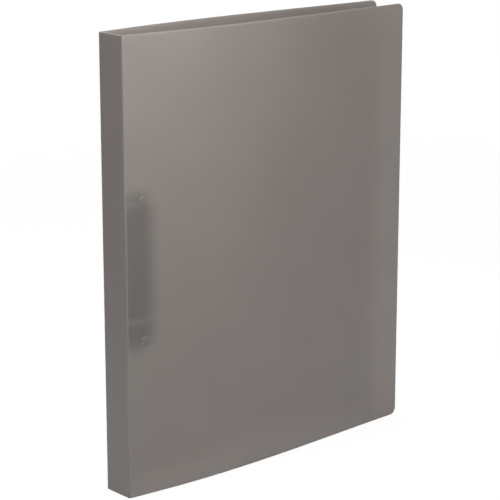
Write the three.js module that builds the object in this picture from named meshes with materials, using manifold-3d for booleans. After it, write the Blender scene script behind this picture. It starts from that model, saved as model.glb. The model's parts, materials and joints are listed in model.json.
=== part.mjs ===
// A slim A4 ring binder of translucent plastic sheet, standing upright on its lower edges.
// Millimetres, +Z up. The spine is at -X, the covers run to +X, and the back cover is at -Y.
// The origin is under the middle of the whole binder, on the surface that it stands on.

import * as THREE from 'three';
import { mergeVertices } from 'three/addons/utils/BufferGeometryUtils.js';
import Module from 'manifold-3d';

// Sheet: spine and covers
const height = 315;
const coverWidth = 258;
const spineWidth = 25;
const sheet = 0.8;
const cornerRadius = 5;
const foldGap = 0.3;
const cornerSteps = 12;

// Bow of a closed cover: straight beside the fold, then one smooth curve to the open edge
const foldLean = 6.2;
const flatBeyondPlate = 4.9;
const edgeSpread = 1.2;
const edgeLean = 1.5;
const bowSteps = 36;

// Rings: how far apart they are, their wire, and their legs down to the carriers
const ringSpacing = 80;
const ringRadius = 9;
const wireRadius = 1.4;
const ringTipGap = 0.3;
const ringToSpine = 3.2;
const legBendRun = 1.32;
const legBendRise = 0.31;
const legToWall = 0.7;
const shankRadius = 0.8;
const shankClearance = 0.2;
const peenRadius = 1.1;
const peenThickness = 0.45;
const wireSides = 12;
const ringSteps = 26;
const arcPoints = 24;
const legPoints = 5;

// Top plate over the carriers: an arch on two side walls
const plateWidth = 15;
const plateWall = 0.7;
const archRise = 2.0;
const lipReach = 0.7;
const plateBeyondRivet = 9;
const channelClearance = 0.6;
const archSegments = 10;

// Carriers that rock under the top plate
const carrierSheet = 0.7;
const carrierMidGap = 0.4;
const carrierEdgeClearance = 0.3;
const carrierEndClearance = 0.7;
const pivotInset = 0.1;
const closedTilt = 5;

// Rivets and their bushes
const rivetBeyondRing = 8;
const rivetRadius = 1.5;
const rivetClearance = 0.3;
const rivetHeadRadius = 3.5;
const rivetHeadThickness = 0.6;
const rivetTopRadius = 2.6;
const rivetTopThickness = 0.8;
const rivetChamfer = 0.2;
const domeSteps = 5;
const bushWall = 1.0;
const roundSides = 32;

// Gaps between seated pieces, and room around what moves
const seatGap = 0.3;
const slotClearance = 0.5;

// What follows from them
const degrees = Math.PI / 180;
const spineX = -coverWidth / 2;
const foldY = spineWidth / 2;
const halfPlate = plateWidth / 2;
const mechanismFromFold = ringRadius + wireRadius + ringToSpine;
const flatRun = mechanismFromFold + halfPlate + flatBeyondPlate;
const rivetSpacing = ringSpacing + 2 * rivetBeyondRing;
const plateLength = rivetSpacing + 2 * plateBeyondRivet;
const rivetHoleRadius = rivetRadius + rivetClearance;
const bushRadius = rivetHoleRadius + bushWall;
const carrierLength = rivetSpacing - 2 * (bushRadius + carrierEndClearance);
const carrierOuter = halfPlate - plateWall - carrierEdgeClearance;
const pivotX = carrierOuter - pivotInset;
const pivotY = seatGap + plateWall + seatGap + carrierSheet / 2;
const wallTop = pivotY + carrierSheet / 2 + channelClearance;
const plateHeight = wallTop + archRise;
const legFromMiddle = halfPlate - plateWall - legToWall - wireRadius;
const legLeaveAngle = Math.acos((legFromMiddle + legBendRun) / ringRadius);
const ringCentreHeight = plateHeight + legBendRise + ringRadius * Math.sin(legLeaveAngle);

const wasm = await Module();
wasm.setup();

// A closed mesh as a solid for cutting and joining
function solidOf(geometry) {
  const bare = geometry.clone();
  bare.deleteAttribute('normal');
  bare.deleteAttribute('uv');
  const merged = mergeVertices(bare);
  return new wasm.Manifold(new wasm.Mesh({
    numProp: 3,
    vertProperties: new Float32Array(merged.attributes.position.array),
    triVerts: new Uint32Array(merged.index.array),
  }));
}

function geometryOf(solid) {
  const mesh = solid.getMesh();
  const geometry = new THREE.BufferGeometry();
  geometry.setAttribute('position', new THREE.BufferAttribute(mesh.vertProperties, 3));
  geometry.setIndex(new THREE.BufferAttribute(mesh.triVerts, 1));
  geometry.computeVertexNormals();
  return geometry;
}

function prism(points, from, to) {
  const shape = new THREE.Shape(points.map(([x, y]) => new THREE.Vector2(x, y)));
  const geometry = new THREE.ExtrudeGeometry(shape, { depth: to - from, bevelEnabled: false });
  return geometry.translate(0, 0, from);
}

// An outline in X and Z, carried through the thickness from Y = from to Y = to
function slab(shape, from, to) {
  const geometry = new THREE.ExtrudeGeometry(shape, {
    depth: to - from,
    bevelEnabled: false,
    curveSegments: cornerSteps,
  });
  return geometry.rotateX(Math.PI / 2).translate(0, to, 0);
}

function roundBar(radius, fromY, toY, sides = roundSides) {
  return new THREE.CylinderGeometry(radius, radius, toY - fromY, sides)
    .translate(0, (fromY + toY) / 2, 0);
}

// Materials
function sheetMaterial() {
  return new THREE.MeshStandardMaterial({
    color: 0x7d756f,
    roughness: 0.5,
    metalness: 0,
    transparent: true,
    opacity: 0.85,
    side: THREE.DoubleSide,
  });
}

function nickelMaterial() {
  return new THREE.MeshStandardMaterial({ color: 0xb9b7b3, roughness: 0.25, metalness: 1 });
}

function lacquerMaterial() {
  return new THREE.MeshStandardMaterial({ color: 0x6b645f, roughness: 0.45, metalness: 0.2 });
}

function piece(name, geometry, material) {
  const mesh = new THREE.Mesh(geometry, material);
  mesh.name = name;
  return mesh;
}

// The fold. Spine and cover are mitred to each other, so that they open freely about its outer corner.
const mitre = 1 / Math.tan((90 + foldLean) / 2 * degrees);
const foldStart = foldGap / 2 / Math.sin((90 + foldLean) / 2 * degrees);
const foldStartInside = foldStart + sheet * mitre;

function spineSheet() {
  const outer = foldY - foldStart;
  const inner = foldY - foldStartInside;
  const outline = [
    [spineX, -outer],
    [spineX + sheet, -inner],
    [spineX + sheet, inner],
    [spineX, outer],
  ];
  return prism(outline, 0, height);
}

// The outer face of a cover, seen from above: X along the cover from its fold, Y outwards from the fold
const leanSlope = Math.tan(foldLean * degrees);
const bowStart = new THREE.Vector2(flatRun, flatRun * leanSlope);
const bowEnd = new THREE.Vector2(coverWidth, edgeSpread);
const bowReach = (coverWidth - flatRun) / 3;
const bowCurve = new THREE.CubicBezierCurve(
  bowStart,
  new THREE.Vector2(bowStart.x + bowReach, bowStart.y + bowReach * leanSlope),
  new THREE.Vector2(bowEnd.x - bowReach, bowEnd.y + bowReach * Math.tan(edgeLean * degrees)),
  bowEnd,
);
const foldDirection = new THREE.Vector2(Math.cos(foldLean * degrees), Math.sin(foldLean * degrees));

function coverOutline() {
  const outer = [foldDirection.clone().multiplyScalar(foldStart)];
  const inside = new THREE.Vector2(foldDirection.y, -foldDirection.x).multiplyScalar(sheet);
  const inner = [foldDirection.clone().multiplyScalar(foldStartInside).add(inside)];
  for (let step = 0; step <= bowSteps; step += 1) {
    const at = step / bowSteps;
    const point = bowCurve.getPoint(at);
    const along = bowCurve.getTangent(at);
    outer.push(point);
    inner.push(new THREE.Vector2(along.y, -along.x).multiplyScalar(sheet).add(point));
  }
  return [...outer, ...inner.reverse()];
}

// side is -1 for the back cover and +1 for the front cover
function coverSheet(side) {
  const outline = coverOutline().map((point) => [spineX + point.x, side * (foldY + point.y)]);
  const margin = 2 * sheet;
  const strip = solidOf(prism(outline, -margin, height + margin));
  const cornerX = spineX + coverWidth - cornerRadius;
  const face = new THREE.Shape();
  face.moveTo(spineX - margin, 0);
  face.lineTo(cornerX, 0);
  face.absarc(cornerX, cornerRadius, cornerRadius, -Math.PI / 2, 0, false);
  face.absarc(cornerX, height - cornerRadius, cornerRadius, 0, Math.PI / 2, false);
  face.lineTo(spineX - margin, height);
  face.closePath();
  return strip.intersect(solidOf(slab(face, -coverWidth, coverWidth)));
}

// The mechanism's own frame: X away from the spine, Y from the back cover's inner face into the binder
const mechanism = new THREE.Group();
mechanism.position.set(
  spineX + mechanismFromFold * foldDirection.x + sheet * foldDirection.y,
  -foldY - mechanismFromFold * foldDirection.y + sheet * foldDirection.x,
  height / 2,
);
mechanism.rotation.z = -foldLean * degrees;
mechanism.updateMatrix();

function backCover() {
  let cover = coverSheet(-1);
  for (const end of [-1, 1]) {
    const hole = roundBar(rivetHoleRadius, -4 * sheet, 4 * sheet)
      .translate(0, 0, end * rivetSpacing / 2)
      .applyMatrix4(mechanism.matrix);
    cover = cover.subtract(solidOf(hole));
  }
  return geometryOf(cover);
}

// Top plate: an arch of spring steel with domed ends, and lips turned in under the carriers
const archRadius = (halfPlate ** 2 + archRise ** 2) / (2 * archRise);
const archCentre = plateHeight - archRadius;
const domeCentre = plateLength / 2 - halfPlate;

function archHeight(radius, x) {
  return archCentre + Math.sqrt(radius ** 2 - x ** 2);
}

// A bar under an arch: its section runs straight along Z, and is turned about Y at both ends
function archedBar(half, bottom, radius) {
  const rightArch = [];
  for (let step = 0; step <= archSegments; step += 1) {
    const x = half * (1 - step / archSegments);
    rightArch.push([x, archHeight(radius, x)]);
  }
  const leftArch = rightArch.slice(0, -1).reverse().map(([x, y]) => [-x, y]);
  const section = [[half, bottom], ...rightArch, ...leftArch, [-half, bottom]];
  const profile = [[0, bottom], [half, bottom], ...rightArch];
  const turned = profile.map(([x, y]) => new THREE.Vector2(x, y));
  let bar = solidOf(prism(section, -domeCentre, domeCentre));
  for (const end of [-1, 1]) {
    const dome = new THREE.LatheGeometry(turned, roundSides).translate(0, 0, end * domeCentre);
    bar = bar.add(solidOf(dome));
  }
  return bar;
}

function topPlate() {
  const insideHalf = halfPlate - plateWall;
  const cavity = archedBar(insideHalf, seatGap - plateWall, archRadius - plateWall);
  let plate = archedBar(halfPlate, seatGap, archRadius).subtract(cavity);

  // The slots for the rings' legs go down to where the arch's underside meets the side walls
  const shoulder = archHeight(archRadius - plateWall, insideHalf);
  const slotInner = legFromMiddle - wireRadius - seatGap;
  const slotOuter = plateWidth;
  const slotWidth = 2 * (wireRadius + slotClearance);
  for (const end of [-1, 1]) {
    for (const side of [-1, 1]) {
      const slot = new THREE.BoxGeometry(slotOuter - slotInner, plateHeight, slotWidth).translate(
        side * (slotInner + slotOuter) / 2,
        shoulder + plateHeight / 2,
        end * ringSpacing / 2,
      );
      plate = plate.subtract(solidOf(slot));
    }
    const hole = roundBar(rivetHoleRadius, wallTop, 2 * plateHeight)
      .translate(0, 0, end * rivetSpacing / 2);
    plate = plate.subtract(solidOf(hole));
  }
  for (const side of [-1, 1]) {
    const lip = new THREE.BoxGeometry(plateWall / 2 + lipReach, plateWall, carrierLength).translate(
      side * (insideHalf + (plateWall / 2 - lipReach) / 2),
      seatGap + plateWall / 2,
      0,
    );
    plate = plate.add(solidOf(lip));
  }
  return geometryOf(plate);
}

// Carriers: two strips that rock about their outer edges, in the channel above the lips.
// carrierMid is how high the middle of a closed carrier's sheet lies, at x from the mechanism's middle.
function carrierMid(x) {
  return pivotY - (pivotX - x) * Math.tan(closedTilt * degrees);
}

function carrier(side) {
  const width = carrierOuter - carrierMidGap;
  const plate = new THREE.BoxGeometry(width, carrierSheet, carrierLength)
    .translate(side * (pivotInset - width / 2), 0, 0)
    .rotateZ(side * closedTilt * degrees)
    .translate(side * pivotX, pivotY, 0);
  let solid = solidOf(plate);
  for (const end of [-1, 1]) {
    const hole = roundBar(shankRadius + shankClearance, -plateHeight, plateHeight)
      .translate(side * legFromMiddle, 0, end * ringSpacing / 2);
    solid = solid.subtract(solidOf(hole));
  }
  return geometryOf(solid);
}

// Ring half: round wire from the tip over the side to a straight leg, with a peened foot in its carrier
function ringHalf(side) {
  const leave = Math.PI + legLeaveAngle;
  const tip = Math.PI / 2 + Math.asin(ringTipGap / 2 / ringRadius);
  const tiltDrop = wireRadius * Math.tan(closedTilt * degrees);
  const legEnd = carrierMid(legFromMiddle) + carrierSheet / 2 + tiltDrop + seatGap;
  const onRing = (angle) => new THREE.Vector3(
    side * -ringRadius * Math.cos(angle),
    ringCentreHeight + ringRadius * Math.sin(angle),
    0,
  );
  const arc = [];
  for (let step = 0; step <= arcPoints; step += 1) {
    arc.push(onRing(tip + (leave - tip) * step / arcPoints));
  }
  const last = onRing(leave);
  const bend = new THREE.Vector3(
    side * legFromMiddle,
    last.y - legBendRun / Math.tan(legLeaveAngle),
    0,
  );
  const leg = new THREE.QuadraticBezierCurve3(last, bend, new THREE.Vector3(bend.x, legEnd, 0));
  const path = new THREE.CatmullRomCurve3([...arc, ...leg.getPoints(legPoints).slice(1)]);
  const section = new THREE.Shape();
  section.absarc(0, 0, wireRadius, 0, 2 * Math.PI, false);
  const wire = new THREE.ExtrudeGeometry(section, {
    extrudePath: path,
    steps: ringSteps,
    curveSegments: wireSides,
    bevelEnabled: false,
  });
  const peenTop = carrierMid(legFromMiddle) - carrierSheet / 2 - tiltDrop - seatGap / 2;
  const shank = roundBar(shankRadius, peenTop - peenThickness, legEnd + wireRadius, wireSides)
    .translate(side * legFromMiddle, 0, 0);
  const peen = roundBar(peenRadius, peenTop - peenThickness, peenTop, 2 * wireSides)
    .translate(side * legFromMiddle, 0, 0);
  return geometryOf(solidOf(wire).add(solidOf(shank)).add(solidOf(peen)));
}

// Rivet: a flat head outside the cover, a shank through cover, bush and arch, and a domed head on the crown
function rivet() {
  const outsideTop = -sheet - seatGap;
  const outsideBottom = outsideTop - rivetHeadThickness;
  const crown = plateHeight + seatGap;
  const profile = [
    new THREE.Vector2(0, outsideBottom),
    new THREE.Vector2(rivetHeadRadius - rivetChamfer, outsideBottom),
    new THREE.Vector2(rivetHeadRadius, outsideBottom + rivetChamfer),
    new THREE.Vector2(rivetHeadRadius, outsideTop),
    new THREE.Vector2(rivetRadius, outsideTop),
    new THREE.Vector2(rivetRadius, crown),
  ];
  for (let step = 0; step < domeSteps; step += 1) {
    const rise = Math.PI / 2 * step / domeSteps;
    profile.push(new THREE.Vector2(
      rivetTopRadius * Math.cos(rise),
      crown + rivetTopThickness * Math.sin(rise),
    ));
  }
  profile.push(new THREE.Vector2(0, crown + rivetTopThickness));
  return new THREE.LatheGeometry(profile, roundSides);
}

// Bush: keeps the arch's crown at its height when the rivet is set
function bush() {
  const top = archHeight(archRadius - plateWall, bushRadius) - seatGap;
  const profile = [
    [rivetHoleRadius, seatGap],
    [bushRadius, seatGap],
    [bushRadius, top],
    [rivetHoleRadius, top],
    [rivetHoleRadius, seatGap],
  ].map(([x, y]) => new THREE.Vector2(x, y));
  return new THREE.LatheGeometry(profile, roundSides);
}

const binder = new THREE.Group();
binder.add(piece('spine', spineSheet(), sheetMaterial()));
binder.add(piece('front_cover', geometryOf(coverSheet(1)), sheetMaterial()));
binder.add(piece('back_cover', backCover(), sheetMaterial()));
binder.add(mechanism);

mechanism.add(piece('top_plate', topPlate(), nickelMaterial()));
const sides = [['spine_side', -1], ['page_side', 1]];
const ends = [['lower', -1], ['upper', 1]];
for (const [sideName, side] of sides) {
  mechanism.add(piece(`${sideName}_carrier`, carrier(side), nickelMaterial()));
}
for (const [endName, end] of ends) {
  const ring = new THREE.Group();
  ring.position.z = end * ringSpacing / 2;
  for (const [sideName, side] of sides) {
    ring.add(piece(`${endName}_ring_${sideName}`, ringHalf(side), nickelMaterial()));
  }
  const fixing = new THREE.Group();
  fixing.position.z = end * rivetSpacing / 2;
  fixing.add(piece(`${endName}_rivet`, rivet(), lacquerMaterial()));
  fixing.add(piece(`${endName}_bush`, bush(), nickelMaterial()));
  mechanism.add(ring, fixing);
}

export default binder;
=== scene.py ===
import json
import math

import bmesh
import bpy
from mathutils import Matrix, Vector


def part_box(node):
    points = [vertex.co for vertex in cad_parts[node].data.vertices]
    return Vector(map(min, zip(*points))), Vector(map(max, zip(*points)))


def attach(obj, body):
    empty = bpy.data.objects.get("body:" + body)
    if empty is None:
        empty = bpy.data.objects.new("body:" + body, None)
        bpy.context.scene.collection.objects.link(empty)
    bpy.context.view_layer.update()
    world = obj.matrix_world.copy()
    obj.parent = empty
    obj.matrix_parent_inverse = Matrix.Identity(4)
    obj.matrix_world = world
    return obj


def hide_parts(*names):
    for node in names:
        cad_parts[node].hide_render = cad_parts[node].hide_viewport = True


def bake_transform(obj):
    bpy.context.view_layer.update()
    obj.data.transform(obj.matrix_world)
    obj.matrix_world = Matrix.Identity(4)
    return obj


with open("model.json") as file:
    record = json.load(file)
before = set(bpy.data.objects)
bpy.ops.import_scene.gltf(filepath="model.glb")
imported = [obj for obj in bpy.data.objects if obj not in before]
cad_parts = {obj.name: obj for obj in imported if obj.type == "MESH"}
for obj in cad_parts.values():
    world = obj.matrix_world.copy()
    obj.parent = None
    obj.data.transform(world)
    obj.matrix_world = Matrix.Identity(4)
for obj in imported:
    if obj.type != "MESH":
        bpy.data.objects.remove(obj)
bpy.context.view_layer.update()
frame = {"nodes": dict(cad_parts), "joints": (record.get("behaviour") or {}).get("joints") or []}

# The camera of the photograph: a long lens, a little above the binder and towards its spine.
# The lens is shifted down a little, so that the camera looks down less and upright edges lean less.
camera_turn = math.radians(41.89)
camera_pitch = math.radians(13.83)
camera_distance = 1.283
camera_target = Vector((-0.00828, 0, 0.16884))
looking = Vector((
    math.sin(camera_turn) * math.cos(camera_pitch),
    math.cos(camera_turn) * math.cos(camera_pitch),
    -math.sin(camera_pitch),
))


def linked(name, data):
    """A new object in the scene, at the origin."""
    made = bpy.data.objects.new(name, data)
    bpy.context.scene.collection.objects.link(made)
    return made


def turned_towards(way):
    """The rotation of a camera or a lamp that looks along a way."""
    return way.to_track_quat("-Z", "Y").to_euler()


camera_data = bpy.data.cameras.new("camera")
camera_data.sensor_width = 36
camera_data.lens = 131.37
camera_data.shift_y = -0.05
camera_data.clip_end = 100
camera = linked("camera", camera_data)
camera.location = camera_target - looking * camera_distance
camera.rotation_euler = turned_towards(looking)
bpy.context.scene.camera = camera

# The stand: a wide pale floor that keeps a soft shadow round the binder and runs out to studio white.
# What looks straight at it, or sees it in metal or through the sheet, sees that white.
stand_half = 12.0
floor_grey = (0.82, 0.82, 0.82, 1)
studio_white = (1, 1, 1, 1)
white_near_binder = 0.9
shadow_reach = 0.4
white_from = 1.4
stand_mesh = bpy.data.meshes.new("floor")
corners = [(-1, -1), (1, -1), (1, 1), (-1, 1)]
stand_mesh.from_pydata([(x * stand_half, y * stand_half, 0) for x, y in corners], [], [(0, 1, 2, 3)])
stand = linked("floor", stand_mesh)


def node_at(tree, kind, x, y, **values):
    node = tree.nodes.new(kind)
    node.location = (x, y)
    for name, value in values.items():
        setattr(node, name, value)
    return node


def seen_directly(tree, x, y):
    """1 for rays from the camera, and for those that metal or the sheet sends on."""
    rays = node_at(tree, "ShaderNodeLightPath", x, y)
    sent_on = node_at(tree, "ShaderNodeMath", x + 200, y - 80, operation="MAXIMUM")
    tree.links.new(rays.outputs["Is Glossy Ray"], sent_on.inputs[0])
    tree.links.new(rays.outputs["Is Transmission Ray"], sent_on.inputs[1])
    either = node_at(tree, "ShaderNodeMath", x + 400, y, operation="MAXIMUM")
    tree.links.new(rays.outputs["Is Camera Ray"], either.inputs[0])
    tree.links.new(sent_on.outputs[0], either.inputs[1])
    return either.outputs[0]


floor_material = bpy.data.materials.new("pale_floor")
floor_material.use_nodes = True
tree = floor_material.node_tree
tree.nodes.clear()
matt = node_at(tree, "ShaderNodeBsdfDiffuse", 0, 100)
matt.inputs["Color"].default_value = floor_grey
white = node_at(tree, "ShaderNodeEmission", 0, -60)
white.inputs["Color"].default_value = studio_white
white.inputs["Strength"].default_value = 1
floor_place = node_at(tree, "ShaderNodeTexCoord", -800, 520)
from_binder = node_at(tree, "ShaderNodeVectorMath", -600, 520, operation="LENGTH")
tree.links.new(floor_place.outputs["Object"], from_binder.inputs[0])
whitening = node_at(tree, "ShaderNodeMapRange", -400, 520, interpolation_type="SMOOTHSTEP")
whitening.inputs["From Min"].default_value = shadow_reach
whitening.inputs["From Max"].default_value = white_from
whitening.inputs["To Min"].default_value = white_near_binder
tree.links.new(from_binder.outputs["Value"], whitening.inputs["Value"])
how_white = node_at(tree, "ShaderNodeMath", 0, 280, operation="MULTIPLY")
tree.links.new(seen_directly(tree, -600, 280), how_white.inputs[0])
tree.links.new(whitening.outputs[0], how_white.inputs[1])
floor_mix = node_at(tree, "ShaderNodeMixShader", 220, 60)
tree.links.new(how_white.outputs[0], floor_mix.inputs["Fac"])
tree.links.new(matt.outputs[0], floor_mix.inputs[1])
tree.links.new(white.outputs[0], floor_mix.inputs[2])
floor_output = node_at(tree, "ShaderNodeOutputMaterial", 420, 60)
tree.links.new(floor_mix.outputs[0], floor_output.inputs["Surface"])
stand_mesh.materials.append(floor_material)

# The light: an even, dim white room and four softboxes, two of them near the fold that faces the camera.
# Those two make the facing cover brightest at its top corner by the spine, as in the photograph.
# One more hangs over the binder, and one stands behind it.
room_light = 0.06
world = bpy.data.worlds.new("studio")
bpy.context.scene.world = world
world.use_nodes = True
tree = world.node_tree
tree.nodes.clear()
room = node_at(tree, "ShaderNodeBackground", 0, 100)
room.inputs["Color"].default_value = studio_white
room.inputs["Strength"].default_value = room_light
backdrop = node_at(tree, "ShaderNodeBackground", 0, -40)
backdrop.inputs["Color"].default_value = studio_white
backdrop.inputs["Strength"].default_value = 1
world_mix = node_at(tree, "ShaderNodeMixShader", 220, 60)
tree.links.new(seen_directly(tree, -600, 200), world_mix.inputs["Fac"])
tree.links.new(room.outputs[0], world_mix.inputs[1])
tree.links.new(backdrop.outputs[0], world_mix.inputs[2])
world_output = node_at(tree, "ShaderNodeOutputWorld", 420, 60)
tree.links.new(world_mix.outputs[0], world_output.inputs["Surface"])


def softbox(name, place, aim, width, watts):
    lamp = bpy.data.lights.new(name, "AREA")
    lamp.shape = "SQUARE"
    lamp.size = width
    lamp.energy = watts
    box = linked(name, lamp)
    box.location = place
    box.rotation_euler = turned_towards(Vector(aim) - Vector(place))
    box.visible_camera = False


softbox("low_key_softbox", place=(-0.18, -0.25, 0.39), aim=(-0.1, 0, 0.2), width=0.15, watts=0.76)
softbox("high_key_softbox", place=(-0.21, -0.3, 0.7), aim=(-0.1, 0, 0.26), width=0.2, watts=1.85)
softbox("top_softbox", place=(-0.05, 0.02, 1.0), aim=(-0.03, 0, 0.3), width=0.3, watts=11.5)
softbox("back_softbox", place=(0.6, 1.2, 1.1), aim=(0, 0, 0.2), width=0.8, watts=12)

# Spine, creases and covers: one blank of smoke-grey translucent polypropylene sheet, 0.8 mm thick.
# It is punched to shape with round corners, and pressed thin along the two folds, where it bends.
# Nothing joins spine and covers but the sheet itself.
MM = 0.001
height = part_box("spine")[1].z
hinge = {joint["name"]: Vector(joint["pos_m"]) for joint in frame["joints"]}
back_fold = hinge["back_cover_fold"]
front_fold = hinge["front_cover_fold"]
spine_width = front_fold.y - back_fold.y
cover_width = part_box("back_cover")[1].x - back_fold.x
sheet = 0.8 * MM
crease_sheet = 0.5 * MM
cut_round = 0.15 * MM
corner_radius = 5 * MM
fold_lean = math.radians(6.2)
flat_run = 26 * MM
edge_spread = 1.2 * MM
edge_lean = math.radians(1.5)
crease_radius = 1.5 * MM
crease_flat = 0.4 * MM
crease_into_spine = 3.0 * MM
crease_into_cover = 4.0 * MM
mechanism_from_fold = 13.6 * MM
rivet_spacing = 96 * MM
rivet_hole = 1.8 * MM
along_fold = Vector((math.cos(fold_lean), math.sin(fold_lean)))
straight_up = Vector((0, 1))

# Where the sheet's faces are divided: across it in stations, up it in rows, closer round each hole
curve_samples = 2000
bow_steps = 60
corner_steps = 10
crease_steps = 12
spine_steps = 8
hole_patch = [-4.0 * MM, -2.4 * MM, -0.8 * MM, 0.8 * MM, 2.4 * MM, 4.0 * MM]
patch_margin = 0.1 * MM
corner_rows = 9 * MM
plain_rows = [40 * MM, 70 * MM, 100 * MM]
row_past_rivet = 130 * MM


def bow_place(share):
    """A point of a cover's outer face past its flat run, X from the fold and Y outwards from it."""
    start = Vector((flat_run, flat_run * math.tan(fold_lean)))
    end = Vector((cover_width, edge_spread))
    reach = (end.x - start.x) / 3
    first = start + Vector((reach, reach * math.tan(fold_lean)))
    second = end + Vector((-reach, reach * math.tan(edge_lean)))
    rest = 1 - share
    place = start * rest ** 3 + first * 3 * rest ** 2 * share
    place += second * 3 * rest * share ** 2 + end * share ** 3
    way = (first - start) * 3 * rest ** 2 + (second - first) * 6 * rest * share
    way += (end - second) * 3 * share ** 2
    return place, way.normalized()


def station(along, place, way, thickness=sheet):
    """One place across the sheet: how far along it lies, where, which way it runs, and its thickness."""
    out = Vector((-way.y, way.x))
    return {"along": along, "place": place, "way": way, "out": out, "thickness": thickness}


def bowed_run():
    """Stations past the flat run, spaced along the curve, and close together in the round corner."""
    places = [bow_place(step / curve_samples) for step in range(curve_samples + 1)]
    lengths = [flat_run / math.cos(fold_lean)]
    for (last, _), (this, _) in zip(places, places[1:]):
        lengths.append(lengths[-1] + (this - last).length)
    edge = lengths[-1] - cut_round
    inner_radius = corner_radius - cut_round
    corner_start = edge - inner_radius
    wanted = [lengths[0] + (corner_start - lengths[0]) * step / bow_steps for step in range(bow_steps)]
    for step in range(corner_steps + 1):
        wanted.append(corner_start + inner_radius * math.sin(math.pi / 2 * step / corner_steps))
    found = []
    index = 0
    for along in wanted:
        while index < curve_samples - 1 and lengths[index + 1] < along:
            index += 1
        share = (along - lengths[index]) / (lengths[index + 1] - lengths[index])
        place, way = bow_place((index + share) / curve_samples)
        found.append(station(along, place, way))
    return found


def cover_stations():
    """From the crease over the rivets' holes and the flat run to the open edge."""
    flat = [crease_into_cover]
    flat += [mechanism_from_fold + step for step in hole_patch]
    flat.append((hole_patch[-1] + mechanism_from_fold + flat_run / math.cos(fold_lean)) / 2)
    return [station(along, along_fold * along, along_fold) for along in flat] + bowed_run()


def crease_stations():
    """From the flat of the spine round the fold to the flat of the cover."""
    turn = math.pi / 2 - fold_lean
    reach = crease_radius * math.tan(turn / 2)
    centre = Vector((crease_radius, -reach))
    found = [
        station(-crease_into_spine, -straight_up * crease_into_spine, straight_up),
        station(-reach - crease_flat, -straight_up * (reach + crease_flat), straight_up),
    ]
    for step in range(crease_steps + 1):
        share = step / crease_steps
        angle = math.pi - turn * share
        out = Vector((math.cos(angle), math.sin(angle)))
        along_curve = Vector((out.y, -out.x))
        thickness = sheet + (crease_sheet - sheet) * math.sin(math.pi * share)
        found.append(station(reach * (2 * share - 1), centre + out * crease_radius, along_curve, thickness))
    found.append(station(reach + crease_flat, along_fold * (reach + crease_flat), along_fold))
    found.append(station(crease_into_cover, along_fold * crease_into_cover, along_fold))
    return found


def row_heights():
    """Heights of the rows of faces, with closer ones round the rivets' holes and in the corners."""
    rows = [cut_round, corner_radius / 2, corner_radius, corner_rows] + plain_rows
    rows += [height / 2 - rivet_spacing / 2 + step for step in hole_patch]
    rows += [row_past_rivet, height / 2]
    return rows + [height - row for row in reversed(rows[:-1])]


def made_piece(name, mesh):
    """The object of a finished mesh."""
    data = bpy.data.meshes.new(name)
    mesh.to_mesh(data)
    mesh.free()
    return linked(name, data)


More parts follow.
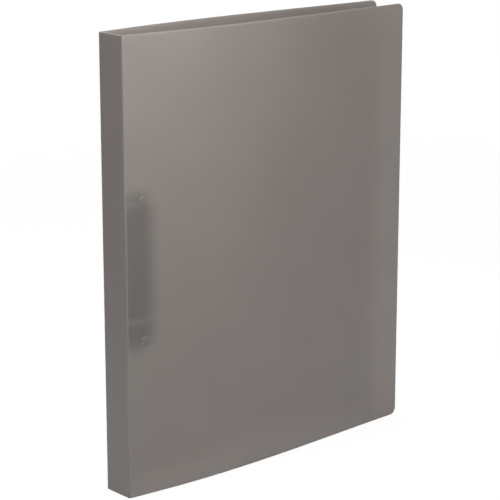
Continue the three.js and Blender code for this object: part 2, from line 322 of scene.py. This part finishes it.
def sheet_piece(name, stations, side, rows, corner_at=None, holes=()):
    """A stretch of the sheet: two faces, cut edges with small rounds, and open where the next piece goes on.

    side is -1 for the back half and 1 for the front half. corner_at is where a round corner begins.
    """
    fold = back_fold if side < 0 else front_fold
    mesh = bmesh.new()
    plan = mesh.loops.layers.uv.new("flat_blank")
    where = {}

    def vertex(one, up, depth, beyond=0.0):
        spot = one["place"] + one["way"] * beyond - one["out"] * depth
        made = mesh.verts.new((fold.x + spot.x, fold.y + side * spot.y, up))
        along = one["along"] + beyond
        where[made] = (along if side < 0 else -spine_width - along, up)
        return made

    def face(*corners, cut=False):
        made = mesh.faces.new(corners if side < 0 else tuple(reversed(corners)))
        made.smooth = True
        made.material_index = 1 if cut else 0
        for loop in made.loops:
            loop[plan].uv = where[loop.vert]

    def row_at(along, up):
        if corner_at is None or along <= corner_at:
            return up
        inner_radius = corner_radius - cut_round
        lift = inner_radius - math.sqrt(max(inner_radius ** 2 - (along - corner_at) ** 2, 0))
        low = cut_round + lift
        if up <= corner_rows:
            return low + (up - cut_round) / (corner_rows - cut_round) * (corner_rows - low)
        if up >= height - corner_rows:
            return height - row_at(along, height - up)
        return up

    last = len(stations) - 1
    top = len(rows) - 1
    outside = [[vertex(one, row_at(one["along"], up), 0) for up in rows] for one in stations]
    inside = [[vertex(one, row_at(one["along"], up), one["thickness"]) for up in rows] for one in stations]
    cut_out = set()
    for (first, past), (low, high) in holes:
        for i in range(first, past):
            for j in range(low, high):
                cut_out.add((i, j))
    for i in range(last):
        for j in range(top):
            if (i, j) not in cut_out:
                face(outside[i][j], outside[i + 1][j], outside[i + 1][j + 1], outside[i][j + 1])
                face(inside[i][j], inside[i][j + 1], inside[i + 1][j + 1], inside[i + 1][j])

    for (first, past), (low, high) in holes:
        rim = [(i, low) for i in range(first, past)] + [(past, j) for j in range(low, high)]
        rim += [(i, high) for i in range(past, first, -1)] + [(first, j) for j in range(high, low, -1)]
        middle = Vector((mechanism_from_fold, (rows[low] + rows[high]) / 2))
        rounds = []
        for i, j in rim:
            way = (Vector((stations[i]["along"], rows[j])) - middle).normalized()
            spot = middle + way * rivet_hole
            one = station(spot.x, along_fold * spot.x, along_fold)
            rounds.append((vertex(one, spot.y, 0), vertex(one, spot.y, sheet)))
        for k, (i, j) in enumerate(rim):
            n = (k + 1) % len(rim)
            i2, j2 = rim[n]
            face(outside[i][j], outside[i2][j2], rounds[n][0], rounds[k][0])
            face(inside[i2][j2], inside[i][j], rounds[k][1], rounds[n][1])
            face(rounds[k][0], rounds[n][0], rounds[n][1], rounds[k][1], cut=True)

    def edge_ring(i, j, normal):
        one = stations[i]
        up = row_at(one["along"], rows[j])
        ring = [outside[i][j]]
        for turn, from_inside in ((45, False), (90, False), (90, True), (45, True)):
            out = cut_round * math.sin(math.radians(turn))
            depth = cut_round * (1 - math.cos(math.radians(turn)))
            if from_inside:
                depth = one["thickness"] - depth
            ring.append(vertex(one, up + out * normal.y, depth, out * normal.x))
        return ring + [inside[i][j]]

    def edge_normal(i, upwards):
        along = stations[i]["along"]
        if corner_at is None or along <= corner_at:
            return Vector((0, upwards))
        across = min((along - corner_at) / (corner_radius - cut_round), 1)
        return Vector((across, upwards * math.sqrt(1 - across ** 2)))

    low_run = [edge_ring(i, 0, edge_normal(i, -1)) for i in range(last + 1)]
    high_run = [edge_ring(i, top, edge_normal(i, 1)) for i in range(last, -1, -1)]
    runs = [low_run, high_run]
    if corner_at is not None:
        side_run = [edge_ring(last, j, Vector((1, 0))) for j in range(1, top)]
        runs = [low_run + side_run + high_run]
    for run in runs:
        for this, after in zip(run, run[1:]):
            for k in range(len(this) - 1):
                face(this[k], this[k + 1], after[k + 1], after[k], cut=True)
    return made_piece(name, mesh)


rows = row_heights()
hole_columns = (1, len(hole_patch))
hole_rows = []
for end in (-1, 1):
    middle = height / 2 + end * rivet_spacing / 2
    in_patch = [j for j, up in enumerate(rows) if abs(up - middle) < hole_patch[-1] + patch_margin]
    hole_rows.append((hole_columns, (in_patch[0], in_patch[-1])))

spine_step = (spine_width - 2 * crease_into_spine) / spine_steps
spine_run = []
for step in range(spine_steps, -1, -1):
    along = -crease_into_spine - step * spine_step
    spine_run.append(station(along, straight_up * along, straight_up))
cover_run = cover_stations()
corner_start = cover_run[-1]["along"] - (corner_radius - cut_round)
spine_sheet = sheet_piece("spine_sheet", spine_run, -1, rows)
back_cover_sheet = sheet_piece("back_cover_sheet", cover_run, -1, rows, corner_start, hole_rows)
front_cover_sheet = sheet_piece("front_cover_sheet", cover_run, 1, rows, corner_start)
back_crease = sheet_piece("back_crease", crease_stations(), -1, rows)
front_crease = sheet_piece("front_crease", crease_stations(), 1, rows)


def marks_group():
    """Fine marks of handling and making, as masks: grain, drawn streaks, cloudiness and scratches."""
    group = bpy.data.node_groups.new("handling_marks", "ShaderNodeTree")
    face = group.interface
    face.new_socket("Place", in_out="INPUT", socket_type="NodeSocketVector")
    for name, value in (("Grain per metre", 2500), ("Streaks per metre", 600), ("Clouds per metre", 18)):
        face.new_socket(name, in_out="INPUT", socket_type="NodeSocketFloat").default_value = value
    for name in ("Grain", "Streaks", "Clouds", "Scratches"):
        face.new_socket(name, in_out="OUTPUT", socket_type="NodeSocketFloat")
    entry = node_at(group, "NodeGroupInput", -900, 0)
    leave = node_at(group, "NodeGroupOutput", 700, 0)

    grain = node_at(group, "ShaderNodeTexNoise", -300, 300)
    grain.inputs["Detail"].default_value = 3
    group.links.new(entry.outputs["Place"], grain.inputs["Vector"])
    group.links.new(entry.outputs["Grain per metre"], grain.inputs["Scale"])
    group.links.new(grain.outputs["Fac"], leave.inputs["Grain"])

    stretch = node_at(group, "ShaderNodeVectorMath", -600, 60, operation="MULTIPLY")
    stretch.inputs[1].default_value = (1, 0.02, 0.02)
    group.links.new(entry.outputs["Place"], stretch.inputs[0])
    streaks = node_at(group, "ShaderNodeTexNoise", -300, 60)
    streaks.inputs["Detail"].default_value = 4
    group.links.new(stretch.outputs[0], streaks.inputs["Vector"])
    group.links.new(entry.outputs["Streaks per metre"], streaks.inputs["Scale"])
    group.links.new(streaks.outputs["Fac"], leave.inputs["Streaks"])

    clouds = node_at(group, "ShaderNodeTexNoise", -300, -180)
    clouds.inputs["Detail"].default_value = 4
    group.links.new(entry.outputs["Place"], clouds.inputs["Vector"])
    group.links.new(entry.outputs["Clouds per metre"], clouds.inputs["Scale"])
    group.links.new(clouds.outputs["Fac"], leave.inputs["Clouds"])

    slant = node_at(group, "ShaderNodeMapping", -600, -420)
    slant.inputs["Rotation"].default_value = (0, 0, math.radians(24))
    slant.inputs["Scale"].default_value = (900, 60, 60)
    group.links.new(entry.outputs["Place"], slant.inputs["Vector"])
    scratch = node_at(group, "ShaderNodeTexNoise", -300, -420)
    scratch.inputs["Scale"].default_value = 1
    scratch.inputs["Detail"].default_value = 1
    group.links.new(slant.outputs[0], scratch.inputs["Vector"])
    few = node_at(group, "ShaderNodeMapRange", -60, -420)
    few.inputs["From Min"].default_value = 0.8
    few.inputs["From Max"].default_value = 0.86
    group.links.new(scratch.outputs["Fac"], few.inputs["Value"])
    group.links.new(few.outputs[0], leave.inputs["Scratches"])
    return group


handling_marks = marks_group()


def plan_coordinates(tree, x, y):
    """Places on the flat blank, in metres, as the mesh keeps them."""
    return node_at(tree, "ShaderNodeUVMap", x, y, uv_map="flat_blank").outputs[0]


def scaled(tree, value, low, high, x, y):
    """A mask from 0 to 1 turned into values from low to high."""
    spread = node_at(tree, "ShaderNodeMapRange", x, y)
    spread.inputs["To Min"].default_value = low
    spread.inputs["To Max"].default_value = high
    tree.links.new(value, spread.inputs["Value"])
    return spread.outputs[0]


def mixed(tree, mask, first, second, x, y):
    """A colour between first and second; each is a colour or a socket."""
    mix = node_at(tree, "ShaderNodeMix", x, y, data_type="RGBA")
    tree.links.new(mask, mix.inputs["Factor"])
    for socket, colour in ((mix.inputs["A"], first), (mix.inputs["B"], second)):
        if isinstance(colour, tuple):
            socket.default_value = (*colour, 1)
        else:
            tree.links.new(colour, socket)
    return mix.outputs["Result"]


def new_finish(name):
    """A new material, with its nodes and its shader."""
    material = bpy.data.materials.new(name)
    material.use_nodes = True
    return material, material.node_tree, material.node_tree.nodes["Principled BSDF"]


def clouded(tree, shader, place, grain, clouds, tones, roughness):
    """Marks at a finish's own scales, with its tone and roughness drifting between two values each."""
    marks = node_at(tree, "ShaderNodeGroup", -900, 0, node_tree=handling_marks)
    marks.inputs["Grain per metre"].default_value = grain
    marks.inputs["Clouds per metre"].default_value = clouds
    tree.links.new(place, marks.inputs["Place"])
    tree.links.new(mixed(tree, marks.outputs["Clouds"], *tones, -500, 200), shader.inputs["Base Color"])
    tree.links.new(scaled(tree, marks.outputs["Clouds"], *roughness, -500, 0), shader.inputs["Roughness"])
    return marks


def raised(tree, shader, rise, strength, depth):
    """Fine relief, as high as a mask says, with the depth of its full height in metres."""
    bump = node_at(tree, "ShaderNodeBump", -260, -160)
    bump.inputs["Strength"].default_value = strength
    bump.inputs["Distance"].default_value = depth
    tree.links.new(rise, bump.inputs["Height"])
    tree.links.new(bump.outputs[0], shader.inputs["Normal"])


# The whitened line of each fold, and the painted shade that the ring mechanism throws on the back cover
crease_line_at = 0.7 * MM
crease_line_core = 0.1 * MM
crease_line_reach = 0.9 * MM
plate_half = 7.5 * MM
ring_spacing = 80 * MM
shade_fade = 8 * MM
shade_past_rivet = 4.5 * MM
shade_into_spine = 1.0 * MM
shade_full_from = 0.5 * MM
# Painted light: lighter bars in the painted shade, a little above each ring
bar_above_ring = 6 * MM
bar_reach = 4.5 * MM
bar_shade = 0.55


def crease_mask(tree, across, x, y):
    """1 on the two pressed lines of the folds, 0 away from them."""
    lines = []
    for number, line_at in enumerate((crease_line_at, -spine_width - crease_line_at)):
        down = y - 160 * number
        away = node_at(tree, "ShaderNodeMath", x, down, operation="SUBTRACT")
        away.inputs[1].default_value = line_at
        tree.links.new(across, away.inputs[0])
        apart = node_at(tree, "ShaderNodeMath", x + 160, down, operation="ABSOLUTE")
        tree.links.new(away.outputs[0], apart.inputs[0])
        line = node_at(tree, "ShaderNodeMapRange", x + 320, down, interpolation_type="SMOOTHSTEP")
        line.inputs["From Min"].default_value = crease_line_reach
        line.inputs["From Max"].default_value = crease_line_core
        tree.links.new(apart.outputs[0], line.inputs["Value"])
        lines.append(line.outputs[0])
    both = node_at(tree, "ShaderNodeMath", x + 520, y - 80, operation="MAXIMUM")
    tree.links.new(lines[0], both.inputs[0])
    tree.links.new(lines[1], both.inputs[1])
    return both.outputs[0]


def multiplied(tree, first, second, x, y):
    product = node_at(tree, "ShaderNodeMath", x, y, operation="MULTIPLY")
    tree.links.new(first, product.inputs[0])
    tree.links.new(second, product.inputs[1])
    return product.outputs[0]


def shaded_stretch(tree, plan, x, y):
    """1 from the fold to inside the plate's far edge, fading out past that edge and past both rivets."""
    plate_edge = mechanism_from_fold + plate_half
    full = (plate_edge - shade_fade) / 2
    half = plate_edge - full
    from_middle = node_at(tree, "ShaderNodeVectorMath", x, y, operation="SUBTRACT")
    from_middle.inputs[1].default_value = (full, height / 2, 0)
    tree.links.new(plan, from_middle.inputs[0])
    folded = node_at(tree, "ShaderNodeVectorMath", x + 160, y, operation="ABSOLUTE")
    tree.links.new(from_middle.outputs[0], folded.inputs[0])
    past_straight = node_at(tree, "ShaderNodeVectorMath", x + 320, y, operation="SUBTRACT")
    past_straight.inputs[1].default_value = (0, rivet_spacing / 2 + shade_past_rivet - half, 0)
    tree.links.new(folded.outputs[0], past_straight.inputs[0])
    clipped = node_at(tree, "ShaderNodeVectorMath", x + 480, y, operation="MAXIMUM")
    tree.links.new(past_straight.outputs[0], clipped.inputs[0])
    away = node_at(tree, "ShaderNodeVectorMath", x + 640, y, operation="LENGTH")
    tree.links.new(clipped.outputs[0], away.inputs[0])
    shaded = node_at(tree, "ShaderNodeMapRange", x + 800, y, interpolation_type="SMOOTHSTEP")
    shaded.inputs["From Min"].default_value = half + shade_fade
    shaded.inputs["From Max"].default_value = half - shade_fade
    tree.links.new(away.outputs["Value"], shaded.inputs["Value"])
    return shaded.outputs[0]


def off_painted_light_bars(tree, plan, x, y):
    """1, and less in a bar a little above each ring: painted light in the painted shade, where light comes
    in through the plate's notch.
    """
    from_rings = node_at(tree, "ShaderNodeVectorMath", x, y, operation="SUBTRACT")
    from_rings.inputs[1].default_value = (0, height / 2 + bar_above_ring, 0)
    tree.links.new(plan, from_rings.inputs[0])
    folded = node_at(tree, "ShaderNodeVectorMath", x + 160, y, operation="ABSOLUTE")
    tree.links.new(from_rings.outputs[0], folded.inputs[0])
    split = node_at(tree, "ShaderNodeSeparateXYZ", x + 320, y)
    tree.links.new(folded.outputs[0], split.inputs[0])
    off_middle = node_at(tree, "ShaderNodeMath", x + 480, y, operation="SUBTRACT")
    off_middle.inputs[1].default_value = ring_spacing / 2
    tree.links.new(split.outputs["Y"], off_middle.inputs[0])
    either_way = node_at(tree, "ShaderNodeMath", x + 640, y, operation="ABSOLUTE")
    tree.links.new(off_middle.outputs[0], either_way.inputs[0])
    barred = node_at(tree, "ShaderNodeMapRange", x + 800, y, interpolation_type="SMOOTHSTEP")
    barred.inputs["From Max"].default_value = bar_reach
    barred.inputs["To Min"].default_value = bar_shade
    tree.links.new(either_way.outputs[0], barred.inputs["Value"])
    return barred.outputs[0]


def mechanism_shade(tree, plan, across, x, y):
    """1 where the ring mechanism close behind the back cover shades it, as painted shade, 0 elsewhere and on
    the spine.
    """
    on_cover = node_at(tree, "ShaderNodeMapRange", x + 800, y - 260, interpolation_type="SMOOTHSTEP")
    on_cover.inputs["From Min"].default_value = -shade_into_spine
    on_cover.inputs["From Max"].default_value = shade_full_from
    tree.links.new(across, on_cover.inputs["Value"])
    shaded = shaded_stretch(tree, plan, x, y)
    # Painted light: the painted shade is lighter in a bar above each ring
    barred = off_painted_light_bars(tree, plan, x, y + 200)
    shade = multiplied(tree, shaded, barred, x + 960, y)
    return multiplied(tree, shade, on_cover.outputs[0], x + 1120, y)


sheet_tones = ((0.26, 0.23, 0.215), (0.3, 0.27, 0.25))
# The darker colour of the painted shade where the ring mechanism lies behind the back cover
painted_shade_tone = (0.175, 0.157, 0.143)
scratch_tone = (0.5, 0.48, 0.46)
whitened_tone = (0.29, 0.265, 0.247)
# The cut edges' colours, darkened as painted shade
edge_painted_shade_tones = ((0.11, 0.098, 0.09), (0.15, 0.134, 0.124))


def smoke_sheet():
    """Smoke-grey polypropylene: cloudy inside, with a matt grain outside, whitened folds and the mechanism's
    painted shade.
    """
    material, tree, shader = new_finish("smoke_sheet")
    plan = plan_coordinates(tree, -1500, 0)
    marks = node_at(tree, "ShaderNodeGroup", -1200, 0, node_tree=handling_marks)
    tree.links.new(plan, marks.inputs["Place"])
    split = node_at(tree, "ShaderNodeSeparateXYZ", -1500, -300)
    tree.links.new(plan, split.inputs[0])
    creased = crease_mask(tree, split.outputs["X"], -1300, -300)
    # The painted shade of the ring mechanism, as a mask
    behind = mechanism_shade(tree, plan, split.outputs["X"], -2300, 600)

    cloudy = mixed(tree, marks.outputs["Clouds"], *sheet_tones, -920, 300)
    # Painted shade: the sheet is darker where the ring mechanism lies close behind the back cover
    with_painted_shade = mixed(tree, behind, cloudy, painted_shade_tone, -700, 300)
    rubbed = mixed(tree, marks.outputs["Scratches"], with_painted_shade, scratch_tone, -480, 300)
    whitened = mixed(tree, creased, rubbed, whitened_tone, -260, 300)
    tree.links.new(whitened, shader.inputs["Base Color"])
    tree.links.new(scaled(tree, marks.outputs["Clouds"], 0.36, 0.46, -260, 60), shader.inputs["Roughness"])

    relief = node_at(tree, "ShaderNodeMath", -700, -120, operation="MULTIPLY_ADD")
    tree.links.new(marks.outputs["Streaks"], relief.inputs[0])
    relief.inputs[1].default_value = 0.5
    tree.links.new(marks.outputs["Grain"], relief.inputs[2])
    raised(tree, shader, relief.outputs[0], strength=0.25, depth=0.05 * MM)

    shader.inputs["IOR"].default_value = 1.49
    shader.inputs["Specular IOR Level"].default_value = 0.25
    shader.inputs["Transmission Weight"].default_value = 0.45
    return material


def cut_edge():
    """The sheet's cut edges: painted shade makes them darker than its faces, and they are duller."""
    material, tree, shader = new_finish("cut_edge")
    plan = plan_coordinates(tree, -1200, 0)
    marks = clouded(tree, shader, plan, grain=2500, clouds=120, tones=edge_painted_shade_tones, roughness=(0.45, 0.6))
    raised(tree, shader, marks.outputs["Grain"], strength=0.3, depth=0.05 * MM)
    shader.inputs["IOR"].default_value = 1.49
    shader.inputs["Specular IOR Level"].default_value = 0.25
    return material


sheet_material = smoke_sheet()
cut_material = cut_edge()
for piece in (spine_sheet, back_cover_sheet, front_cover_sheet, back_crease, front_crease):
    piece.data.materials.append(sheet_material)
    piece.data.materials.append(cut_material)

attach(spine_sheet, "spine")
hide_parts("spine")
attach(back_cover_sheet, "back_cover")
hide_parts("back_cover")
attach(front_cover_sheet, "front_cover")
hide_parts("front_cover")

# Each crease keeps its place, baked into its mesh
for crease, fold, side, cover in (
    (back_crease, back_fold, -1, "back_cover"),
    (front_crease, front_fold, 1, "front_cover"),
):
    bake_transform(crease)

# Top plate: the arch of nickel-plated spring steel that covers the carriers and snaps them over.
# It is pressed from 0.7 mm strip, with domed ends, notches for the rings and a raised seat at each rivet.
# Two rivets hold it to the back cover.
plate_length = 114 * MM
plate_wall = 0.7 * MM
wall_foot = 0.3 * MM
wall_top = 2.6 * MM
arch_rise = 2.0 * MM
shoulder_in = 0.28 * MM
shoulder_rise = 0.36 * MM
shoulder_sink = 0.26 * MM
shoulder_end = 0.16 * MM
shoulder_turns = (15, 40, 65)
notch_half = 1.9 * MM
notch_inner = 3.0 * MM
notch_foot = 2.19 * MM
foot_edge = 0.4 * MM
boss_radius = 3.4 * MM
boss_rise = 0.22 * MM
boss_slope = 0.7 * MM
edge_round = 0.12 * MM
arch_shares = [0, 0.13, 0.26, 0.39, notch_inner / plate_half, 0.5, 0.62, 0.74, 0.85, 0.94]
plain_lengths = [12 * MM, 24 * MM, 33 * MM]
boss_lengths = [44.4 * MM, 45.4 * MM, 46.6 * MM, 48.0 * MM]
dome_steps = 20
crown = wall_top + arch_rise
arch_radius = (plate_half ** 2 + arch_rise ** 2) / (2 * arch_rise)
dome_middle = plate_length / 2 - plate_half

mechanism = (
    Matrix.Translation((
        back_fold.x + mechanism_from_fold * along_fold.x + sheet * along_fold.y,
        back_fold.y - mechanism_from_fold * along_fold.y + sheet * along_fold.x,
        height / 2,
    ))
    @ Matrix.Rotation(-fold_lean, 4, "Z")
)


def arch_height(away):
    """The plate's outer height, by how far a point is from the arch's middle line or a dome's middle."""
    return crown - arch_radius + math.sqrt(arch_radius ** 2 - away ** 2)


def boss(x, z):
    """How far the raised seat round a rivet lifts the plate."""
    away = math.hypot(x, abs(z) - rivet_spacing / 2)
    share = min(max((boss_radius - away) / boss_slope, 0), 1)
    return boss_rise * share * share * (3 - 2 * share)


def half_section():
    """Half the plate's outer section, from the middle of the arch over the shoulder to the wall's foot."""
    section = [(share * plate_half, arch_height(share * plate_half)) for share in arch_shares]
    for turn in shoulder_turns:
        lean = math.radians(turn)
        x = plate_half - shoulder_in * (1 - math.sin(lean))
        section.append((x, wall_top - shoulder_sink + shoulder_rise * math.cos(lean)))
    for up in (wall_top - shoulder_end, notch_foot, wall_foot + foot_edge, wall_foot):
        section.append((plate_half, up))
    return section


def dome_spokes(mesh, section, grid, end, row):
    """Columns of vertices round a domed end, the first and last being the plate's own last row."""
    spokes = []
    for k in range(dome_steps + 1):
        angle = math.pi * k / dome_steps
        spoke = []
        for i, (x, y) in enumerate(section):
            if k == 0 or i == 0:
                spoke.append(grid[i, 1, row])
            elif k == dome_steps:
                spoke.append(grid[i, -1, row])
            else:
                across = x * math.cos(angle)
                z = end * (dome_middle + x * math.sin(angle))
                spoke.append(mesh.verts.new((across, y + boss(across, z), z)))
        spokes.append(spoke)
    return spokes


def top_plate_shell():
    """One open skin: rows across the arch and down both walls, closed at the domed ends, then thickened."""
    mesh = bmesh.new()
    section = half_section()
    ring_at = ring_spacing / 2
    one_end = plain_lengths + [ring_at - notch_half, ring_at, ring_at + notch_half]
    one_end += boss_lengths + [dome_middle]
    lengths = [-z for z in reversed(one_end)] + [0] + one_end
    grid = {}
    for j, z in enumerate(lengths):
        for i, (x, y) in enumerate(section):
            for sign in (-1, 1):
                if i == 0 and sign == 1:
                    grid[i, sign, j] = grid[i, -1, j]
                else:
                    grid[i, sign, j] = mesh.verts.new((sign * x, y + boss(x, z), z))
    first_notched = arch_shares.index(notch_inner / plate_half)
    last_notched = len(section) - 3
    for j in range(len(lengths) - 1):
        middle = abs(lengths[j] + lengths[j + 1]) / 2
        notched = abs(middle - ring_at) < notch_half
        for i in range(len(section) - 1):
            if notched and first_notched <= i < last_notched:
                continue
            for sign in (-1, 1):
                near = [grid[i, sign, j], grid[i + 1, sign, j]]
                far = [grid[i + 1, sign, j + 1], grid[i, sign, j + 1]]
                quad = near + far
                mesh.faces.new(quad if sign < 0 else list(reversed(quad)))
    for end, row in ((-1, 0), (1, len(lengths) - 1)):
        spokes = dome_spokes(mesh, section, grid, end, row)
        for this, after in zip(spokes, spokes[1:]):
            for i in range(len(section) - 1):
                patch = [this[i], this[i + 1], after[i + 1]]
                if i > 0:
                    patch.append(after[i])
                mesh.faces.new(patch if end > 0 else list(reversed(patch)))
    for made in mesh.faces:
        made.smooth = True
    bmesh.ops.recalc_face_normals(mesh, faces=mesh.faces)
    mesh.transform(mechanism)
    shell = made_piece("top_plate_shell", mesh)
    thick = shell.modifiers.new("strip", "SOLIDIFY")
    thick.thickness = plate_wall
    thick.offset = -1
    soft = shell.modifiers.new("pressed_edges", "BEVEL")
    soft.width = edge_round
    soft.segments = 2
    soft.limit_method = "ANGLE"
    soft.angle_limit = math.radians(50)
    return shell


def bright_nickel():
    """Bright nickel on pressed steel, with a faint grain and dulled spots."""
    material, tree, shader = new_finish("bright_nickel")
    place = node_at(tree, "ShaderNodeTexCoord", -1200, 0).outputs["Object"]
    tones = ((0.55, 0.535, 0.51), (0.66, 0.65, 0.63))
    marks = clouded(tree, shader, place, grain=1800, clouds=90, tones=tones, roughness=(0.16, 0.3))
    raised(tree, shader, marks.outputs["Grain"], strength=0.12, depth=0.02 * MM)
    shader.inputs["Metallic"].default_value = 1
    return material


nickel = bright_nickel()
shell = top_plate_shell()
shell.data.materials.append(nickel)
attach(shell, "back_cover")
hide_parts("top_plate")

# Carriers and bushes: two strips of nickel-plated steel that rock under the plate, and two spacer sleeves.
# The carriers carry the rings' feet, peened over below. The sleeves keep the plate's crown at its height.
for name in ("spine_side_carrier", "page_side_carrier", "lower_bush", "upper_bush"):
    node = frame["nodes"][name]
    node.data.materials.clear()
    node.data.materials.append(nickel)

# Rings: halves of nickel-plated steel wire, 2.8 mm thick, bent round and down to a straight leg.
# Each leg is turned down to a thinner shank, which goes through its carrier and is peened over.
ring_radius = 9 * MM
wire_radius = 1.4 * MM
ring_tip_gap = 0.12 * MM
tip_round = 0.3 * MM
tip_turns = (10, 45, 80)
leg_from_middle = 4.7 * MM
leg_bend_run = 1.32 * MM
leg_bend_rise = 0.31 * MM
leg_foot = 2.27 * MM
leg_chamfer = 0.1 * MM
shank_radius = 0.8 * MM
shank_top = 0.12 * MM
peen_radius = 1.1 * MM
peen_top = 0.88 * MM
peen_step = 0.02 * MM
peen_foot = 0.43 * MM
peen_round_up = 0.15 * MM
peen_round_in = 0.25 * MM
ring_arc_steps = 48
leg_steps = 10
wire_sides = 24
leave_angle = math.acos((leg_from_middle + leg_bend_run) / ring_radius)
ring_middle = crown + leg_bend_rise + ring_radius * math.sin(leave_angle)


def ring_path():
    """Points of the wire's middle from the tip to the foot of the leg, on the page side."""
    tip = math.pi / 2 + math.asin(ring_tip_gap / 2 / ring_radius)
    leave = math.pi + leave_angle
    points = []
    for step in range(ring_arc_steps + 1):
        angle = tip + (leave - tip) * step / ring_arc_steps
        points.append(Vector((-ring_radius * math.cos(angle), ring_middle + ring_radius * math.sin(angle))))
    last = points[-1]
    bend = Vector((leg_from_middle, last.y - leg_bend_run / math.tan(leave_angle)))
    foot = Vector((leg_from_middle, leg_foot))
    for step in range(1, leg_steps + 1):
        share = step / leg_steps
        points.append(last * (1 - share) ** 2 + bend * 2 * share * (1 - share) + foot * share ** 2)
    return points


def wire_ring(mesh, centre, out, radius):
    """One loop of vertices round the wire, out lying in the ring's plane."""
    loop = []
    for step in range(wire_sides):
        angle = 2 * math.pi * step / wire_sides
        side = out * (radius * math.cos(angle))
        loop.append(mesh.verts.new((centre.x + side.x, centre.y + side.y, radius * math.sin(angle))))
    return loop


def bridged(mesh, loops):
    """Faces between each loop of vertices and the next."""
    for this, after in zip(loops, loops[1:]):
        for k in range(len(this)):
            n = (k + 1) % len(this)
            mesh.faces.new((this[k], this[n], after[n], after[k]))


def ring_half(name, side, at):
    mesh = bmesh.new()
    path = ring_path()
    loops = []
    for step, point in enumerate(path):
        before = path[max(step - 1, 0)]
        after = path[min(step + 1, len(path) - 1)]
        way = (after - before).normalized()
        out = Vector((-way.y, way.x))
        if step > 0:
            loops.append(wire_ring(mesh, point, out, wire_radius))
            continue
        for turn in tip_turns:
            back = tip_round * (1 - math.sin(math.radians(turn)))
            loops.append(wire_ring(mesh, point + way * back, out, wire_radius - back))
    for up, radius in (
        (leg_foot - leg_chamfer, wire_radius - leg_chamfer),
        (leg_foot - shank_top, shank_radius),
        (peen_top, shank_radius),
        (peen_top - peen_step, peen_radius),
        (peen_foot + peen_round_up, peen_radius),
        (peen_foot, peen_radius - peen_round_in),
    ):
        loops.append(wire_ring(mesh, Vector((leg_from_middle, up)), Vector((-1, 0)), radius))
    bridged(mesh, loops)
    mesh.faces.new(loops[0])
    mesh.faces.new(list(reversed(loops[-1])))
    for made in mesh.faces:
        made.smooth = len(made.verts) == 4
    if side < 0:
        bmesh.ops.scale(mesh, vec=(-1, 1, 1), verts=mesh.verts)
    bmesh.ops.recalc_face_normals(mesh, faces=mesh.faces)
    bmesh.ops.translate(mesh, vec=(0, 0, at), verts=mesh.verts)
    mesh.transform(mechanism)
    half = made_piece(name, mesh)
    half.data.set_sharp_from_angle(angle=math.radians(50))
    half.data.materials.append(nickel)
    return half


for end_name, end in (("lower", -1), ("upper", 1)):
    for side_name, side in (("spine_side", -1), ("page_side", 1)):
        half = ring_half(f"{end_name}_wire_{side_name}", side, end * ring_spacing / 2)
        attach(half, f"{side_name}_half")
        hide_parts(f"{end_name}_ring_{side_name}")

# Rivets: two of steel, lacquered to the sheet's smoke grey, so that their heads hardly show outside.
# A low head bears on the back cover, and the shank is closed to a dome on the plate's raised seat.
rivet_radius = 1.5 * MM
rivet_dome = 2.6 * MM
rivet_sides = 48
cap_steps = 8
head_radius = 3.5 * MM
head_edge = 0.05 * MM
head_low = 1.7 * MM
head_high = 0.83 * MM
head_rim = 0.12 * MM
dome_foot = crown + boss_rise
dome_top = crown + 1.1 * MM


def rivet_profile():
    """Radius and height from the middle of the outside head round to the top of the dome."""
    leans = [math.pi / 2 * step / cap_steps for step in range(cap_steps + 1)]
    profile = []
    for lean in leans:
        drop = (head_low - head_high - head_rim) * math.cos(lean) ** 2
        profile.append((head_radius * math.sin(lean), -head_high - head_rim - drop))
    profile.append((head_radius - head_edge, -head_high))
    profile.append((rivet_radius, -head_high))
    profile.append((rivet_radius, dome_foot))
    for lean in leans:
        profile.append((rivet_dome * math.cos(lean), dome_foot + (dome_top - dome_foot) * math.sin(lean)))
    return profile


def turned_rivet(name, at):
    mesh = bmesh.new()
    loops = []
    profile = rivet_profile()
    for radius, up in profile[1:-1]:
        loop = []
        for step in range(rivet_sides):
            angle = 2 * math.pi * step / rivet_sides
            loop.append(mesh.verts.new((radius * math.cos(angle), up, radius * math.sin(angle))))
        loops.append(loop)
    bottom = mesh.verts.new((0, profile[0][1], 0))
    top = mesh.verts.new((0, profile[-1][1], 0))
    bridged(mesh, loops)
    for k in range(rivet_sides):
        n = (k + 1) % rivet_sides
        mesh.faces.new((bottom, loops[0][n], loops[0][k]))
        mesh.faces.new((top, loops[-1][k], loops[-1][n]))
    for made in mesh.faces:
        made.smooth = True
    bmesh.ops.recalc_face_normals(mesh, faces=mesh.faces)
    bmesh.ops.translate(mesh, vec=(0, 0, at), verts=mesh.verts)
    mesh.transform(mechanism)
    made = made_piece(name, mesh)
    made.data.set_sharp_from_angle(angle=math.radians(45))
    return made


def smoke_lacquer():
    """Stove lacquer in the sheet's grey, worn a little lighter and duller in places."""
    material, tree, shader = new_finish("smoke_lacquer")
    place = node_at(tree, "ShaderNodeTexCoord", -1200, 0).outputs["Object"]
    tones = ((0.105, 0.095, 0.087), (0.142, 0.128, 0.118))
    marks = clouded(tree, shader, place, grain=4000, clouds=400, tones=tones, roughness=(0.32, 0.48))
    raised(tree, shader, marks.outputs["Grain"], strength=0.2, depth=0.03 * MM)
    shader.inputs["Specular IOR Level"].default_value = 0.35
    return material


lacquer = smoke_lacquer()
for end_name, end in (("lower", -1), ("upper", 1)):
    rivet = turned_rivet(f"{end_name}_turned_rivet", end * rivet_spacing / 2)
    rivet.data.materials.append(lacquer)
    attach(rivet, "back_cover")
    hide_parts(f"{end_name}_rivet")

# Colours show about as they are written
bpy.context.scene.view_settings.view_transform = "Standard"
